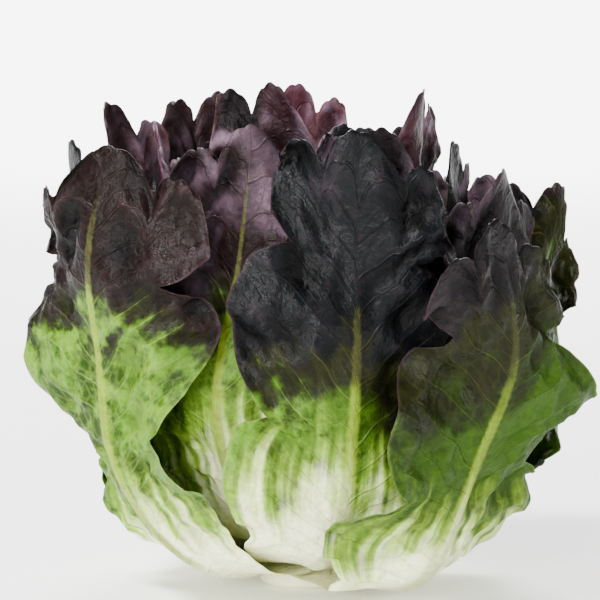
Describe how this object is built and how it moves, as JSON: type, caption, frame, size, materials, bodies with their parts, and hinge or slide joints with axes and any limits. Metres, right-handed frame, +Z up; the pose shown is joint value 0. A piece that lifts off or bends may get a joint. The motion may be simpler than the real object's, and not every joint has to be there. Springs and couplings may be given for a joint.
{
  "type": "oak leaf lettuce",
  "caption": "Whole head of red oak leaf lettuce: lobed, ruffled leaves in a spiral on a short cut stem, upright, wide as a bowl, dark at the top and pale at the base.",
  "frame": {"origin": "middle of the stem's cut face, at the bottom of the head", "axes": "+Z up along the stem, -Y towards the fullest side of the head, which the picture shows, +X to the right of it"},
  "size_m": [0.2193, 0.1934, 0.1978],
  "materials": {
    "stem": "moist, pale cream to white, slightly browned on the cut face",
    "heart_leaf": "soft satin, pale green with red-purple tips",
    "leaf": "satin, blistered, dark red-purple above, green lower down, cream-white at the midrib's foot"
  },
  "bodies": {
    "root": {"stem": "stem", "leaf_01": "heart_leaf", "leaf_02": "heart_leaf", "leaf_03": "heart_leaf", "leaf_04": "heart_leaf", "leaf_05": "heart_leaf", "leaf_06": "heart_leaf", "leaf_07": "heart_leaf", "leaf_08": "heart_leaf", "leaf_09": "heart_leaf", "leaf_10": "heart_leaf", "leaf_11": "heart_leaf", "leaf_12": "heart_leaf", "leaf_13": "leaf", "leaf_14": "leaf", "leaf_15": "leaf", "leaf_16": "leaf", "leaf_17": "leaf", "leaf_18": "leaf", "leaf_19": "leaf", "leaf_20": "leaf", "leaf_21": "leaf", "leaf_22": "leaf", "leaf_23": "leaf", "leaf_24": "leaf", "leaf_25": "leaf", "leaf_26": "leaf", "leaf_27": "leaf", "leaf_28": "leaf", "leaf_29": "leaf", "leaf_30": "leaf", "leaf_31": "leaf", "leaf_32": "leaf", "leaf_33": "leaf", "leaf_34": "leaf", "leaf_35": "leaf", "leaf_36": "leaf"}
  },
  "joints": []
}
